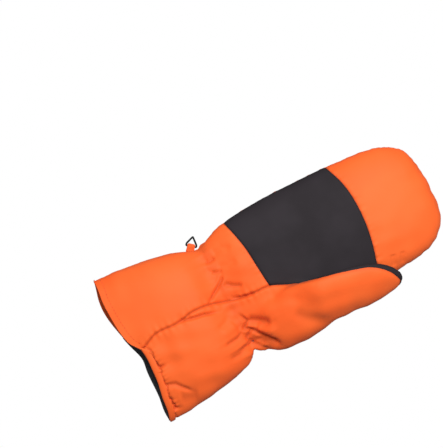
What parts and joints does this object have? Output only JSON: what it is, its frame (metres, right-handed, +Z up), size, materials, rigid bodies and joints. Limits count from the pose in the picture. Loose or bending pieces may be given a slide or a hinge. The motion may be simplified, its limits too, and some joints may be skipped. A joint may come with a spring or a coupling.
{
  "type": "ski mitten",
  "caption": "Right-hand padded ski mitten with a gathered wrist, flared cuff, dark palm patch, separate thumb and a small pairing hook, lying palm up.",
  "frame": {"origin": "centre of the bounding box's footprint, on the surface that the back of the mitten lies on", "axes": "+X from the hem to the fingertips, +Y to the little finger side, -Y to the thumb side, +Z up out of the palm"},
  "size_m": [0.33, 0.1518, 0.0606],
  "materials": {
    "orange_shell": "closely woven polyester with a soft sheen",
    "charcoal_palm": "smooth matt coated polyester",
    "wadding": "soft polyester wadding",
    "membrane": "thin translucent film",
    "lining": "brushed fleece",
    "elastic": "braided elastic",
    "hook_plastic": "moulded, satin"
  },
  "bodies": {
    "cuff": {"cuff_back_shell": "orange_shell", "cuff_palm_shell": "orange_shell", "cuff_thumb_side_shell": "orange_shell", "cuff_back_wadding": "wadding", "cuff_palm_wadding": "wadding", "cuff_lining": "lining", "hem_band": "orange_shell", "hem_facing": "orange_shell", "wrist_elastic": "elastic", "hook_tab": "orange_shell"},
    "hand": {"hand_back_shell": "orange_shell", "palm_heel_shell": "orange_shell", "palm_patch": "charcoal_palm", "thumb_base_shell": "orange_shell", "fingertip_panel_root": "orange_shell", "hand_back_wadding": "wadding", "hand_palm_wadding": "wadding", "hand_membrane": "membrane", "hand_lining": "lining"},
    "fingers": {"finger_back_shell": "orange_shell", "fingertip_palm_shell": "orange_shell", "finger_back_wadding": "wadding", "finger_palm_wadding": "wadding", "finger_membrane": "membrane", "finger_lining": "lining"},
    "thumb": {"thumb_outer_shell": "orange_shell", "thumb_inner_shell": "charcoal_palm", "thumb_wadding": "wadding", "thumb_membrane": "membrane", "thumb_lining": "lining"},
    "hook": {"pairing_hook": "hook_plastic"}
  },
  "joints": [
    {"name": "wrist_flex", "type": "hinge", "parent": "hand", "child": "cuff", "pos_m": [-0.046, 0, 0.013], "axis": [0, 1, 0], "range_deg": [-35, 45]},
    {"name": "finger_curl", "type": "hinge", "parent": "hand", "child": "fingers", "pos_m": [0.106, 0, 0.0366], "axis": [0, -1, 0], "range_deg": [0, 75]},
    {"name": "thumb_flex", "type": "hinge", "parent": "hand", "child": "thumb", "pos_m": [0.032, -0.041, 0.0445], "axis": [0, -0.5, 0.866], "range_deg": [-10, 30]},
    {"name": "hook_swing", "type": "hinge", "parent": "cuff", "child": "hook", "pos_m": [-0.0624, 0.0619, 0.0085], "axis": [0.766, -0.6428, 0], "range_deg": [-30, 80]}
  ]
}
